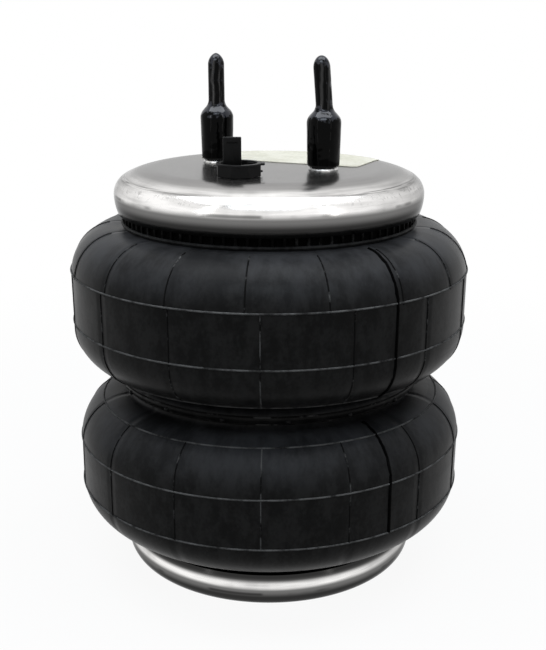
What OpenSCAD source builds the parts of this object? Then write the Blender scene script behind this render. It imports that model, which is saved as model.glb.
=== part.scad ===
// Air bellows actuator with two convolutions, crimped bead plates, capped studs and a plugged air inlet.
// The origin is the middle of the lower plate's outer face, +Z runs along the stroke. Sizes are millimetres.

/* [Bead plates] */
// Outer diameter of each bead plate
plate_d = 114.3; // [100:0.1:140]
// Height between the outer faces of the two plates at rest
height = 155; // [144:1:170]
// Thickness of the plate's sheet
sheet = 2; // [1.5:0.1:2.5]
// Outer radius of the rolled rim
roll_r = 7.1; // [6.4:0.1:8]
// Drop from the flat face to the top of the rolled rim
rim_drop = 2.1; // [1.4:0.1:2.6]
// Width of the dished ring between the flat face and the middle of the rolled rim
dish_w = 9; // [7.5:0.1:10]
// Length of the rim's skirt past the middle of the roll
skirt_h = 6.6; // [5.5:0.1:7.5]
// How far the skirt's lip tucks in
lip_tuck = 1.25; // [1:0.05:1.6]

/* [Bellows] */
// How far the rubber belts stand out past the plates' edge
bulge = 16.95; // [16:0.05:22]
// Radius of the upper convolution's shoulder next to its plate
shoulder_r = 17.2; // [14:0.1:18]
// Radius of the upper convolution's shoulder next to the waist
waist_shoulder_r = 16; // [13:0.1:18]
// Radius of the lower convolution's shoulder next to its plate
low_shoulder_r = 16.5; // [14:0.1:18]
// Radius of the lower convolution's shoulder next to the waist, where the rubber sags
low_waist_shoulder_r = 17.9; // [13:0.1:18]
// Length of the neck between a plate's lip and the shoulder
neck_h = 4.9; // [4:0.1:8]
// Radius of the fillet between a neck and its shoulder
neck_fillet = 2; // [1:0.1:3]
// Height of the waist between the two convolutions
waist_h = 10; // [9.5:0.1:14]
// How far the waist lies inside the plates' edge
waist_in = 3; // [1:0.05:4]
// Radius of the fillet between the waist and a shoulder
waist_fillet = 2; // [1:0.1:2.2]
// Height of a belt between its two flash lines
belt_h = 18.8; // [15:0.1:22]
// How far a belt's middle lies from its convolution's middle, towards the plate
belt_rise = 1.2; // [0:0.05:3]
// How far a flash line stands proud of the rubber
flash = 0.65; // [0.3:0.05:1]
// Thickness of the rubber cover
cover_t = 1.4; // [1:0.05:2]
// Thickness of each fabric ply
ply_t = 0.7; // [0.5:0.05:1]
// Thickness of the rubber liner
liner_t = 0.8; // [0.6:0.05:1.2]
// Skim of adhesive between bonded pieces
bond = 0.05; // [0.04:0.01:0.1]
// Thickness of the wire bundle in a bead
core_d = 3.6; // [2.4:0.1:4.4]
// Thickness of the steel hoop in the waist
hoop_d = 4; // [3:0.1:5]
// Rubber between the hoop and the ply that it girdles
hoop_seat = 0.4; // [0.2:0.05:0.8]
// Rubber over the outside of the hoop
hoop_cover = 0.9; // [0.5:0.05:1.5]
// Clearance between a plate's rim and the rubber in it
bead_fit = 0.3; // [0.2:0.05:0.4]

/* [Studs and caps] */
// Distance between the two studs, and between the two blind nuts
stud_pitch = 44.45; // [38:0.05:56]
// Diameter over the stud's thread
stud_d = 9.4; // [8:0.1:12]
// Length of a stud above the plate
stud_len = 15.9; // [12:0.1:24]
// Diameter of a stud's head under the plate
head_d = 13.5; // [12.6:0.1:16]
// Thickness of a stud's head
head_t = 3.5; // [2.5:0.1:5]
// Clearance of a hole in a plate round what passes through it
hole_fit = 0.15; // [0.1:0.05:0.2]
// Width of the lock collar round a stud
collar_w = 1.25; // [1:0.05:2]
// Height of the lock collar
collar_h = 0.8; // [0.6:0.1:3]
// Wall of a vinyl cap
cap_wall = 1.05; // [0.8:0.05:1.2]
// Clearance between a cap and its stud, and between its foot and the collar
cap_fit = 0.3; // [0.2:0.05:0.4]
// Free space over the stud's end in a cap
cap_end = 0.5; // [0.3:0.1:2]
// Diameter of a cap's neck
cap_neck_d = 6; // [5:0.1:7.4]
// Length of a cap's neck
cap_neck_h = 12.3; // [8:0.1:20]
// Radius of both curves of a cap's shoulder
cap_shoulder_r = 4; // [3:0.1:4.4]
// Slope of a cap's shoulder from upright
cap_slope = 42; // [35:1:50]
// Radius of a cap's blunt tip
cap_tip_r = 1.7; // [0.8:0.1:1.9]
// Distance from the end of a cap's neck to the middle of its tip
cap_tip_h = 2.5; // [2.4:0.1:6]
// Radius of the rounded foot of a cap
cap_foot_r = 0.8; // [0.3:0.1:0.8]

/* [Air inlet] */
// Gap between the inlet bushing and the edge of the plate's flat face
inlet_gap = 4.6; // [3:0.1:7]
// Direction from the middle of the plate to the inlet
inlet_angle = -83; // [-100:1:-70]
// Diameter of the inlet bushing
bushing_d = 17; // [15.8:0.1:22]
// Length of the inlet bushing under the plate
bushing_len = 14; // [11:0.5:20]
// Diameter of the inlet's bore
inlet_bore_d = 11.4; // [10:0.1:12]
// Wall of the bushing's spigot in the plate
spigot_wall = 1.6; // [1:0.1:1.8]
// Turn of the plug about its own axis
plug_turn = 29; // [0:1:359]
// Diameter of the plug's cup
plug_d = 15.4; // [15.2:0.1:18]
// Height of the plug's cup over the plate
plug_h = 4.6; // [3.5:0.1:6]
// Wall of the plug
plug_wall = 1.3; // [1:0.1:1.6]
// Width of the flange round the plug's rim
plug_flange_w = 0.35; // [0.3:0.05:1]
// Thickness of the plug's flange and side tab
plug_flange_t = 0.8; // [0.6:0.1:1.5]
// Length of the plug's stem in the bore
plug_stem = 9; // [5:0.5:10.5]
// Clearance between the plug and the inlet
plug_fit = 0.3; // [0.2:0.05:0.4]
// Width of the plug's pull tab
tab_w = 6.3; // [4:0.1:7]
// Thickness of the plug's pull tab
tab_t = 1.8; // [1:0.1:2.4]
// Height of the pull tab over the plug's rim
tab_h = 8.6; // [6:0.1:14]
// Radius of the pull tab's top corners
tab_corner_r = 0.8; // [0.3:0.1:1.8]
// Shift of the pull tab from the plug's middle
tab_shift = 2.2; // [0:0.1:2.4]
// Length of the side tab past the plug's flange
side_tab_l = 1.6; // [1:0.1:5]
// Width of the side tab
side_tab_w = 4.5; // [3:0.1:7]

/* [Blind nuts] */
// Bore of a blind nut
nut_bore_d = 8; // [7:0.1:9]
// Wall of a blind nut
nut_wall = 2.4; // [1.8:0.1:4]
// Depth of a blind nut's bore from the plate's outer face
nut_depth = 14; // [10:0.5:20]
// Thickness of a blind nut's closed end
nut_end = 2; // [1.5:0.1:4]
// Width of a blind nut's weld flange
nut_flange_w = 3; // [2:0.1:4]
// Thickness of a blind nut's weld flange
nut_flange_t = 2.2; // [1.5:0.1:4]

/* [Label] */
// Length of the label along the line of the studs
label_l = 65; // [50:1:68]
// Shift of the label's middle to the left of the plate's middle
label_shift = 1.5; // [0:0.5:4]
// Turn of the label about the plate's axis
label_turn = 4; // [0:1:5]
// Distance from the plate's middle to the label's near edge
label_near = 9; // [9:0.5:16]
// Distance from the plate's edge to the label's rounded far edge
label_edge = 11.15; // [9:0.05:16]
// Thickness of the label
label_t = 0.2; // [0.15:0.05:0.4]

/* [Hidden] */
$fn = 96;

// Room by which a cut runs past the face that it opens
cut = 1;

// Depth by which a straight slope on a cap runs into the round ends that it joins
dip = 0.01;

// Plate section, measured from the flat face: the dish and the skirt are arcs that meet the roll smoothly
plate_r = plate_d / 2;
roll_c = plate_r - roll_r;
roll_drop = rim_drop + roll_r;
flat_r = roll_c - dish_w;
dish_r = (dish_w * dish_w + roll_drop * roll_drop - roll_r * roll_r) / (2 * rim_drop);
dish_angle = asin(dish_w / (dish_r - roll_r));
skirt_r = (skirt_h * skirt_h + lip_tuck * lip_tuck) / (2 * lip_tuck);
plate_depth = roll_drop + skirt_h;
lip_bore_r = plate_r - skirt_r + sqrt(pow(skirt_r - sheet, 2) - skirt_h * skirt_h);

// Beads in the rolled rims
bead_r = roll_r - sheet - bead_fit;
core_r = core_d / 2;

// Heights and radii of the upper convolution; the lower one is its mirror image, apart from its shoulders
mid_z = height / 2;
belt_r = plate_r + bulge;
neck_r = lip_bore_r - bead_fit;
neck_top = height - roll_drop - bead_r - bead_fit;
conv_top = height - plate_depth - neck_h;
conv_low = mid_z + waist_h / 2;
belt_mid = (conv_top + conv_low) / 2 + belt_rise;
waist_r = plate_r - waist_in;

// Depth of each layer's outer face under the rubber's skin
outer_ply_in = cover_t + bond;
inner_ply_in = outer_ply_in + ply_t + bond;
liner_in = inner_ply_in + ply_t + bond;
wall_in = liner_in + liner_t;

// Girdle hoop in the waist
hoop_r = hoop_d / 2;
hoop_c = waist_r - cover_t + hoop_seat + bond + hoop_r;
hoop_bulge_r = hoop_r + bond + hoop_cover;

// Studs, collars and caps
stud_x = stud_pitch / 2;
stud_r = stud_d / 2;
cap_r = stud_r + cap_fit + cap_wall;
cap_neck_r = cap_neck_d / 2;
cap_z = height + collar_h + cap_fit;
cap_body_h = stud_len - collar_h - cap_fit + cap_end;
cap_slope_w = cap_r - cap_neck_r - 2 * cap_shoulder_r * (1 - cos(cap_slope));
cap_shoulder_h = 2 * cap_shoulder_r * sin(cap_slope) + cap_slope_w / tan(cap_slope);
cap_neck_z = cap_body_h + cap_shoulder_h;
cap_tip_z = cap_neck_z + cap_neck_h;
cap_tip_angle = asin((cap_neck_r - cap_tip_r) / cap_tip_h);

// Air inlet and its plug
inlet_reach = flat_r - bushing_d / 2 - inlet_gap;
inlet_x = inlet_reach * cos(inlet_angle);
inlet_y = inlet_reach * sin(inlet_angle);
inlet_bore_r = inlet_bore_d / 2;
spigot_r = inlet_bore_r + spigot_wall;
stem_r = inlet_bore_r - plug_fit;
plug_r = plug_d / 2;

// Blind nuts in the lower plate
nut_bore_r = nut_bore_d / 2;
nut_r = nut_bore_r + nut_wall;

// Solid of revolution about Z from a half section in X and Y
module revolve() {
    rotate_extrude() children();
}

// Half section under a plate's outer skin, inset from it, with the flat face at zero and an open lower side
module plate_area(inset, past) {
    intersection() {
        translate([0, -plate_depth - past]) square([plate_r + cut, plate_depth + past + cut]);
        union() {
            translate([0, -plate_depth - past]) square([flat_r, plate_depth + past - inset]);
            translate([0, -plate_depth - past]) square([roll_c, skirt_h + past]);
            intersection() {
                translate([flat_r, -dish_r]) circle(dish_r - inset);
                polygon([
                    [flat_r, -roll_drop], [flat_r, cut],
                    [flat_r + (dish_r + cut) * sin(dish_angle), (dish_r + cut) * cos(dish_angle) - dish_r],
                    [roll_c, -roll_drop]
                ]);
            }
            intersection() {
                translate([roll_c, -roll_drop]) circle(roll_r - inset);
                translate([flat_r, -roll_drop]) square([plate_r, roll_drop + cut]);
            }
            intersection() {
                translate([plate_r - skirt_r, -roll_drop]) circle(skirt_r - inset);
                translate([flat_r, -plate_depth - past]) square([plate_r, skirt_h + past]);
            }
        }
    }
}

// Crimped plate with its flat face at zero and its rim hanging down
module plate_shell() {
    revolve() difference() {
        plate_area(0, 0);
        plate_area(sheet, cut);
    }
}

module at_studs() {
    for (side = [-1, 1]) translate([side * stud_x, 0, 0]) children();
}

module on_upper_plate() {
    translate([0, 0, height]) children();
}

module on_lower_plate() {
    mirror([0, 0, 1]) children();
}

// Drill through a plate whose flat face is at zero
module plate_hole(r) {
    translate([0, 0, -sheet - cut]) cylinder(h = sheet + 2 * cut, r = r);
}

module bead_core_ring() {
    revolve() translate([roll_c, -roll_drop]) circle(core_r);
}

module bead_filler_ring() {
    revolve() translate([roll_c, -roll_drop]) difference() {
        circle(bead_r);
        circle(core_r + bond);
    }
}

// Half section under the skin of the upper convolution and its neck, inset from the skin
module convolution_area(inset, past, plate_side_r, waist_side_r) {
    plate_side_z = conv_top - plate_side_r;
    waist_side_z = conv_low + waist_side_r;
    translate([0, waist_side_z]) square([belt_r - inset, plate_side_z - waist_side_z]);
    translate([belt_r - plate_side_r, plate_side_z]) circle(plate_side_r - inset);
    translate([0, plate_side_z]) square([belt_r - plate_side_r, plate_side_r - inset]);
    translate([belt_r - waist_side_r, waist_side_z]) circle(waist_side_r - inset);
    translate([0, conv_low + inset]) square([belt_r - waist_side_r, waist_side_r - inset]);
    translate([0, plate_side_z]) square([neck_r - inset, neck_top + past - plate_side_z]);
    difference() {
        translate([0, plate_side_z]) square([neck_r + neck_fillet, plate_side_r + neck_fillet]);
        translate([neck_r + neck_fillet, conv_top + neck_fillet]) circle(neck_fillet + inset);
    }
    difference() {
        translate([0, conv_low - waist_fillet])
            square([waist_r + waist_fillet, waist_fillet + waist_side_r]);
        translate([waist_r + waist_fillet, conv_low - waist_fillet]) circle(waist_fillet + inset);
    }
}

// Half section under the skin of the whole bellows, from neck to neck
module bellows_area(inset, past) {
    translate([0, mid_z - waist_h / 2]) square([waist_r - inset, waist_h]);
    convolution_area(inset, past, shoulder_r, waist_shoulder_r);
    translate([0, height]) mirror([0, 1])
        convolution_area(inset, past, low_shoulder_r, low_waist_shoulder_r);
}

// One bonded layer of the bellows wall
module bellows_layer(outside, thickness) {
    revolve() difference() {
        bellows_area(outside, 0);
        bellows_area(outside + thickness, cut);
    }
}

// Moulding flash along the top and bottom edge of each belt
module flash_area() {
    for (belt_z = [belt_mid, height - belt_mid]) {
        for (edge = [-1, 1]) translate([belt_r - flash, belt_z + edge * belt_h / 2]) circle(2 * flash);
    }
}

module stud() {
    translate([0, 0, -sheet - head_t]) cylinder(h = head_t, d = head_d);
    translate([0, 0, -sheet - head_t]) cylinder(h = head_t + sheet + stud_len, r = stud_r);
}

module stud_collar() {
    difference() {
        cylinder(h = collar_h, r = stud_r + bond + collar_w);
        translate([0, 0, -cut]) cylinder(h = collar_h + 2 * cut, r = stud_r + bond);
    }
}

// Half section under a cap's skin, inset from it, with the foot at zero
module cap_area(inset, past) {
    foot = past > 0 ? 0 : cap_foot_r;
    low_r = cap_shoulder_r - inset;
    high_r = cap_shoulder_r + inset;
    low_x = cap_r - cap_shoulder_r;
    high_x = cap_neck_r + cap_shoulder_r;
    translate([0, foot - past]) square([cap_r - inset, cap_body_h + past - foot]);
    if (foot > 0) {
        square([cap_r - foot, foot]);
        translate([cap_r - foot, foot]) circle(foot);
    }
    intersection() {
        translate([0, cap_body_h]) square([cap_r + cut, cap_shoulder_h]);
        translate([low_x, cap_body_h]) circle(low_r);
    }
    difference() {
        polygon([
            [0, cap_body_h],
            [low_x + (low_r - dip) * cos(cap_slope), cap_body_h + (low_r - dip) * sin(cap_slope)],
            [high_x - (high_r - dip) * cos(cap_slope), cap_neck_z - (high_r - dip) * sin(cap_slope)],
            [high_x, cap_neck_z], [0, cap_neck_z]
        ]);
        translate([high_x, cap_neck_z]) circle(high_r);
    }
    translate([0, cap_neck_z]) square([cap_neck_r - inset, cap_neck_h]);
    half_disc(cap_neck_r - inset, cap_tip_z);
}

// Right half of a disc whose middle is on the axis
module half_disc(r, z) {
    intersection() {
        translate([0, z]) circle(r);
        translate([0, z - r - cut]) square([r + cut, 2 * (r + cut)]);
    }
}

// Pointed end of a cap: a cone that runs smoothly from the neck's round end into a small ball
module cap_tip_area() {
    low_r = cap_neck_r - dip;
    high_r = cap_tip_r - dip;
    ball_z = cap_tip_z + cap_tip_h;
    half_disc(cap_tip_r, ball_z);
    polygon([
        [0, cap_tip_z],
        [low_r * cos(cap_tip_angle), cap_tip_z + low_r * sin(cap_tip_angle)],
        [high_r * cos(cap_tip_angle), ball_z + high_r * sin(cap_tip_angle)],
        [0, ball_z]
    ]);
}

module stud_cap() {
    translate([0, 0, cap_z]) revolve() difference() {
        union() {
            cap_area(0, 0);
            cap_tip_area();
        }
        cap_area(cap_wall, cut);
    }
}

module blind_nut() {
    difference() {
        union() {
            translate([0, 0, -nut_depth - nut_end]) cylinder(h = nut_depth + nut_end, r = nut_r);
            translate([0, 0, -sheet - nut_flange_t]) cylinder(h = nut_flange_t, r = nut_r + nut_flange_w);
        }
        translate([0, 0, -nut_depth]) cylinder(h = nut_depth + cut, r = nut_bore_r);
    }
}

module lower_bead_plate() {
    color("silver") on_lower_plate() difference() {
        plate_shell();
        at_studs() plate_hole(nut_r + hole_fit);
    }
}

module lower_bead_core() {
    color("darkgoldenrod") on_lower_plate() bead_core_ring();
}

module lower_bead_filler() {
    color("dimgray") on_lower_plate() bead_filler_ring();
}

module blind_nut_left() {
    color("gainsboro") translate([-stud_x, 0, 0]) on_lower_plate() blind_nut();
}

module blind_nut_right() {
    color("gainsboro") translate([stud_x, 0, 0]) on_lower_plate() blind_nut();
}

module inner_liner() {
    color("dimgray") bellows_layer(liner_in, liner_t);
}

module inner_ply() {
    color("tan") bellows_layer(inner_ply_in, ply_t);
}

module outer_ply() {
    color("burlywood") bellows_layer(outer_ply_in, ply_t);
}

module outer_cover() {
    color("#1c1d20") revolve() difference() {
        union() {
            bellows_area(0, 0);
            flash_area();
            translate([hoop_c, mid_z]) circle(hoop_bulge_r);
        }
        bellows_area(cover_t, cut);
        translate([hoop_c, mid_z]) circle(hoop_r + bond);
    }
}

module girdle_hoop() {
    color("slategray") revolve() translate([hoop_c, mid_z]) circle(hoop_r);
}

module upper_bead_plate() {
    color("silver") on_upper_plate() difference() {
        plate_shell();
        at_studs() plate_hole(stud_r + hole_fit);
        translate([inlet_x, inlet_y, 0]) plate_hole(spigot_r + hole_fit);
    }
}

module upper_bead_core() {
    color("darkgoldenrod") on_upper_plate() bead_core_ring();
}

module upper_bead_filler() {
    color("dimgray") on_upper_plate() bead_filler_ring();
}

module stud_left() {
    color("gainsboro") on_upper_plate() translate([-stud_x, 0, 0]) stud();
}

module stud_right() {
    color("gainsboro") on_upper_plate() translate([stud_x, 0, 0]) stud();
}

module stud_collar_left() {
    color("whitesmoke") on_upper_plate() translate([-stud_x, 0, 0]) stud_collar();
}

module stud_collar_right() {
    color("whitesmoke") on_upper_plate() translate([stud_x, 0, 0]) stud_collar();
}

module air_inlet_bushing() {
    color("gainsboro") on_upper_plate() translate([inlet_x, inlet_y, 0]) difference() {
        union() {
            translate([0, 0, -sheet - bushing_len]) cylinder(h = bushing_len, d = bushing_d);
            translate([0, 0, -sheet]) cylinder(h = sheet, r = spigot_r);
        }
        translate([0, 0, -sheet - bushing_len - cut])
            cylinder(h = bushing_len + sheet + 2 * cut, r = inlet_bore_r);
    }
}

// Paper label that follows the plate's face and the dish behind the studs
module blank_label() {
    color("cornsilk") on_upper_plate() intersection() {
        revolve() difference() {
            plate_area(-bond - label_t, 0);
            plate_area(-bond, cut);
        }
        translate([0, 0, -roll_drop]) cylinder(h = roll_drop + cut, r = plate_r - label_edge);
        rotate([0, 0, label_turn]) translate([-label_l / 2 - label_shift, label_near, -roll_drop])
            cube([label_l, plate_r, roll_drop + cut]);
    }
}

module stud_cap_left() {
    color("#0b0b0d") translate([-stud_x, 0, 0]) stud_cap();
}

module stud_cap_right() {
    color("#0b0b0d") translate([stud_x, 0, 0]) stud_cap();
}

// Side tab of the plug: a flat tongue with a round end
module side_tab() {
    reach = plug_r + plug_flange_w + side_tab_l - side_tab_w / 2;
    translate([0, -side_tab_w / 2, plug_h - plug_flange_t]) cube([reach, side_tab_w, plug_flange_t]);
    translate([reach, 0, plug_h - plug_flange_t]) cylinder(h = plug_flange_t, d = side_tab_w);
}

// Pull tab of the plug: an upright tongue with rounded top corners
module pull_tab() {
    top = plug_h - plug_fit + tab_h;
    rotate([90, 0, 0]) linear_extrude(tab_t, center = true) {
        translate([-tab_w / 2, 0]) square([tab_w, top - tab_corner_r]);
        translate([tab_corner_r - tab_w / 2, 0]) square([tab_w - 2 * tab_corner_r, top]);
        for (side = [-1, 1])
            translate([side * (tab_w / 2 - tab_corner_r), top - tab_corner_r]) circle(tab_corner_r);
    }
}

module inlet_plug() {
    color("#1b1c1e") translate([inlet_x, inlet_y, height]) rotate([0, 0, plug_turn]) {
        difference() {
            union() {
                translate([0, 0, plug_fit]) cylinder(h = plug_h - plug_fit, r = plug_r);
                translate([0, 0, plug_h - plug_flange_t])
                    cylinder(h = plug_flange_t, r = plug_r + plug_flange_w);
                translate([0, 0, -plug_stem]) cylinder(h = plug_stem + plug_h, r = stem_r);
                side_tab();
            }
            translate([0, 0, plug_wall + plug_fit]) cylinder(h = plug_h, r = plug_r - plug_wall);
            translate([0, 0, -plug_stem - cut])
                cylinder(h = plug_stem + cut, r = stem_r - plug_wall);
        }
        translate([-tab_shift, 0, plug_fit]) pull_tab();
    }
}

lower_bead_plate();
lower_bead_core();
lower_bead_filler();
blind_nut_left();
blind_nut_right();
inner_liner();
inner_ply();
outer_ply();
outer_cover();
girdle_hoop();
upper_bead_plate();
upper_bead_core();
upper_bead_filler();
stud_left();
stud_right();
stud_collar_left();
stud_collar_right();
air_inlet_bushing();
blank_label();
stud_cap_left();
stud_cap_right();
inlet_plug();
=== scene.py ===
# %% [markdown]
# # Air bellows actuator
#
# A rubber bellows with two bulging convolutions is crimped between two round steel plates. The upper plate carries
# two studs under dipped vinyl caps, an air inlet under a pull-tab plug and a blank paper label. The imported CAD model
# gives every place and size. This lesson models the surfaces that show, gives each a finish, and lets each piece ride
# on the body that carries it.

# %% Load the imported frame
import math

import bmesh
import bpy
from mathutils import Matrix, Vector


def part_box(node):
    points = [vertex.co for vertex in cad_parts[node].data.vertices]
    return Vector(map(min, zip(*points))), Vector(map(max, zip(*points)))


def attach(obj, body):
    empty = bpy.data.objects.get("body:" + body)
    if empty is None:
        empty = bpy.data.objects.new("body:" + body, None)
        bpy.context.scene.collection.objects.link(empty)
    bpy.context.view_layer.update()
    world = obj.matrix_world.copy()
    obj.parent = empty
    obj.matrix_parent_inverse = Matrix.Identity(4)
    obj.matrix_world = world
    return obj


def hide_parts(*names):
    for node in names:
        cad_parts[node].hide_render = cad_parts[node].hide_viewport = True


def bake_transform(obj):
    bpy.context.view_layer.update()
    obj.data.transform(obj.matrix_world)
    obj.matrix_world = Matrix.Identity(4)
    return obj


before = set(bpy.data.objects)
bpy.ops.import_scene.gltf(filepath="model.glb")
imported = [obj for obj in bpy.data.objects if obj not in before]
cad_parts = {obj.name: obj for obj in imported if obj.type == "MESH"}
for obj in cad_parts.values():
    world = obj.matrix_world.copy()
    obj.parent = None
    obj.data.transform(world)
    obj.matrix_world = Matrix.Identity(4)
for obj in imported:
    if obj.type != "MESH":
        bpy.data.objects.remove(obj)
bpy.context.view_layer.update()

MM = 0.001

# %% [markdown]
# ## Camera
#
# The camera stands a little above the upper plate and looks down at the bellows. Its place and focal length come from
# a fit of the plates' and belts' edges in the photograph. A small lens shift keeps the framing, so the camera can
# stay level from side to side.

# %% Camera
IMAGE = (546, 650)
view_turn = math.radians(28.9)
camera_distance = 386.7 * MM
camera_height = 207.64 * MM
camera_pitch = math.radians(19.23)
focal_pixels = 1037.05
axis_pixel = (269.02, 376.14)
sensor_mm = 36
camera_side = view_turn - math.pi / 2

bpy.ops.object.camera_add(
    location=(camera_distance * math.sin(view_turn), -camera_distance * math.cos(view_turn), camera_height),
    rotation=(math.pi / 2 - camera_pitch, 0, view_turn),
)
camera = bpy.context.object
camera.data.sensor_width = sensor_mm
camera.data.lens = sensor_mm * focal_pixels / IMAGE[1]
camera.data.shift_x = (IMAGE[0] / 2 - axis_pixel[0]) / IMAGE[1]
camera.data.shift_y = (axis_pixel[1] - IMAGE[1] / 2) / IMAGE[1]
camera.data.clip_start = 10 * MM
scene = bpy.context.scene
scene.camera = camera
scene.view_settings.view_transform = "Standard"
print("Camera lens in mm:", round(camera.data.lens, 2))

# %% [markdown]
# ## Shader maths in Python
#
# A material is a web of small nodes. Wiring each one by hand hides the idea, so one small class wraps a socket:
# adding, taking away and multiplying sockets adds the Math nodes, and one method makes any other node.


# %% A socket that can be used in sums
class Socket:
    """One output in a node tree."""

    def __init__(self, tree, output):
        self.tree = tree
        self.output = output

    def node(self, kind, settings=None, sockets=None, output=0):
        made = self.tree.nodes.new(kind)
        for name, value in (settings or {}).items():
            setattr(made, name, value)
        for name, value in (sockets or {}).items():
            if isinstance(value, Socket):
                self.tree.links.new(value.output, made.inputs[name])
            else:
                made.inputs[name].default_value = value
        return Socket(self.tree, made.outputs[output])

    def other(self, name):
        return Socket(self.tree, self.output.node.outputs[name])

    def math(self, operation, *values):
        return self.node("ShaderNodeMath", {"operation": operation}, dict(enumerate((self, *values))))

    def __add__(self, value):
        return self.math("ADD", value)

    def __sub__(self, value):
        return self.math("SUBTRACT", value)

    def __rsub__(self, value):
        return self.node("ShaderNodeMath", {"operation": "SUBTRACT"}, {0: value, 1: self})

    def __mul__(self, value):
        return self.math("MULTIPLY", value)

    __radd__ = __add__
    __rmul__ = __mul__


# %% Patterns that several finishes share
def noise(vector, scale, detail=3.0, roughness=0.55):
    sockets = {"Vector": vector, "Scale": scale, "Detail": detail, "Roughness": roughness}
    return vector.node("ShaderNodeTexNoise", None, sockets)


def step(value, low, high):
    """Smooth mask that goes from 0 at low to 1 at high."""
    sockets = {"Value": value, "From Min": low, "From Max": high}
    return value.node("ShaderNodeMapRange", {"interpolation_type": "SMOOTHSTEP"}, sockets)


def mix(factor, first, second):
    """Colour that goes from first to second."""
    return factor.node("ShaderNodeMix", {"data_type": "RGBA"}, {0: factor, 6: first, 7: second}, 2)


def join(x, y, z):
    return x.node("ShaderNodeCombineXYZ", None, {0: x, 1: y, 2: z})


def bump(height, distance, strength=1.0):
    sockets = {"Height": height, "Distance": distance, "Strength": strength}
    return height.node("ShaderNodeBump", None, sockets)


def split(place):
    axes = place.node("ShaderNodeSeparateXYZ", None, {0: place})
    return axes, axes.other("Y"), axes.other("Z")


def grey(value, tint=(1.0, 1.0, 1.0)):
    return (value * tint[0], value * tint[1], value * tint[2], 1.0)


# %% Start a finish, and feed its shader
def start_finish(name):
    material = bpy.data.materials.new(name)
    material.use_nodes = True
    tree = material.node_tree
    place = Socket(tree, tree.nodes.new("ShaderNodeTexCoord").outputs["Object"])
    return material, tree.nodes["Principled BSDF"], place


def feed(shader, constants, varying):
    for name, value in constants.items():
        shader.inputs[name].default_value = value
    for name, socket in varying.items():
        socket.tree.links.new(socket.output, shader.inputs[name])


# %% [markdown]
# ## Studio
#
# The photograph is a cut-out on pure white. The floor is a pale disc that keeps the soft shadow, and a glow that only
# the camera and mirror-like rays see lifts it to white. The world does the same, and lights the object far more
# softly. A large box of light overhead, a smaller one over the camera and two strips at the sides make the
# highlights.

# %% World
scene.world = bpy.data.worlds.new("studio")
scene.world.use_nodes = True
world_tree = scene.world.node_tree
ambient = 0.06


def seen_rays(tree):
    """1 for rays that show the background, to the camera or in metal and glass."""
    rays = Socket(tree, tree.nodes.new("ShaderNodeLightPath").outputs["Is Camera Ray"])
    return rays.math("MAXIMUM", rays.other("Is Glossy Ray")).math("MAXIMUM", rays.other("Is Transmission Ray"))


seen = seen_rays(world_tree)
backdrop = world_tree.nodes["Background"]
backdrop.inputs["Color"].default_value = grey(1.0)
world_tree.links.new((ambient + (1 - ambient) * seen).output, backdrop.inputs["Strength"])

# %% Floor
floor_r = 0.9
fade_start = 0.16
fade_end = 0.5
floor_glow = 0.93
floor_bounce = 0.22
bpy.ops.mesh.primitive_circle_add(vertices=96, radius=floor_r, fill_type="NGON", location=(0, 0, -0.3 * MM))
floor = bpy.context.object
floor.name = "floor"
paper, plain_shader, floor_place = start_finish("pale_floor")
floor_tree = paper.node_tree
floor_tree.nodes.remove(plain_shader)
away = floor_place.node("ShaderNodeVectorMath", {"operation": "LENGTH"}, {0: floor_place}, "Value")
glow_share = seen_rays(floor_tree) * (floor_glow + (1 - floor_glow) * step(away, fade_start, fade_end))
camera_ray = Socket(floor_tree, floor_tree.nodes.new("ShaderNodeLightPath").outputs["Is Camera Ray"])
floor_colour = mix(camera_ray, grey(floor_bounce), grey(0.95))
lit = floor_place.node("ShaderNodeBsdfDiffuse", None, {"Color": floor_colour})
glow = floor_place.node("ShaderNodeEmission", None, {"Color": grey(1.0), "Strength": 1.0})
floor_mix = floor_place.node("ShaderNodeMixShader", None, {0: glow_share, 1: lit, 2: glow})
floor_tree.links.new(floor_mix.output, floor_tree.nodes["Material Output"].inputs["Surface"])
floor.data.materials.append(paper)


# %% Lamps
def softbox(name, place, target, size, power, colour):
    bpy.ops.object.light_add(type="AREA", location=place)
    lamp = bpy.context.object
    lamp.name = name
    lamp.data.shape = "RECTANGLE"
    lamp.data.size, lamp.data.size_y = size
    lamp.data.energy = power
    lamp.data.color = colour
    lamp.rotation_euler = (Vector(target) - Vector(place)).to_track_quat("-Z", "Y").to_euler()


def beside_camera(side, forward, height):
    """Place given to the right of the object as the camera sees it, towards the camera, and up."""
    across = Vector((math.cos(view_turn), math.sin(view_turn), 0))
    towards = Vector((math.sin(view_turn), -math.cos(view_turn), 0))
    return across * side + towards * forward + Vector((0, 0, height))


middle = (0, 0, 80 * MM)
softbox("overhead", beside_camera(0.0, 0.05, 1.2), middle, (1.5, 0.7), 12.5, (0.92, 0.96, 1.0))
softbox("front_top", beside_camera(-0.05, 0.85, 1.1), middle, (0.9, 0.35), 3.6, (0.8, 0.9, 1.0))
softbox("left_strip", beside_camera(-0.57, 0.57, 0.42), middle, (0.06, 0.84), 0.4, (1.0, 1.0, 1.0))
softbox("right_strip", beside_camera(0.57, 0.57, 0.42), middle, (0.06, 0.84), 0.4, (1.0, 0.98, 0.96))

# %% [markdown]
# ## Finishes
#
# Each finish is procedural and reads Object coordinates, which are the model's own metres here. Pressed steel and
# moulded rubber are both turned shapes, so their grain is worked out from the distance to the axis and the angle
# round it.


# %% Masks that the finishes share
def facing_up(place, low, high):
    """Mask of what faces up: 1 where the normal's height is past high."""
    return step(split(place.other("Normal"))[2], low, high)


def turned(place):
    """Distance from the axis, angle round it, and height."""
    x, y, z = split(place)
    return (x * x + y * y).math("SQRT"), y.math("ARCTAN2", x), z


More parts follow.
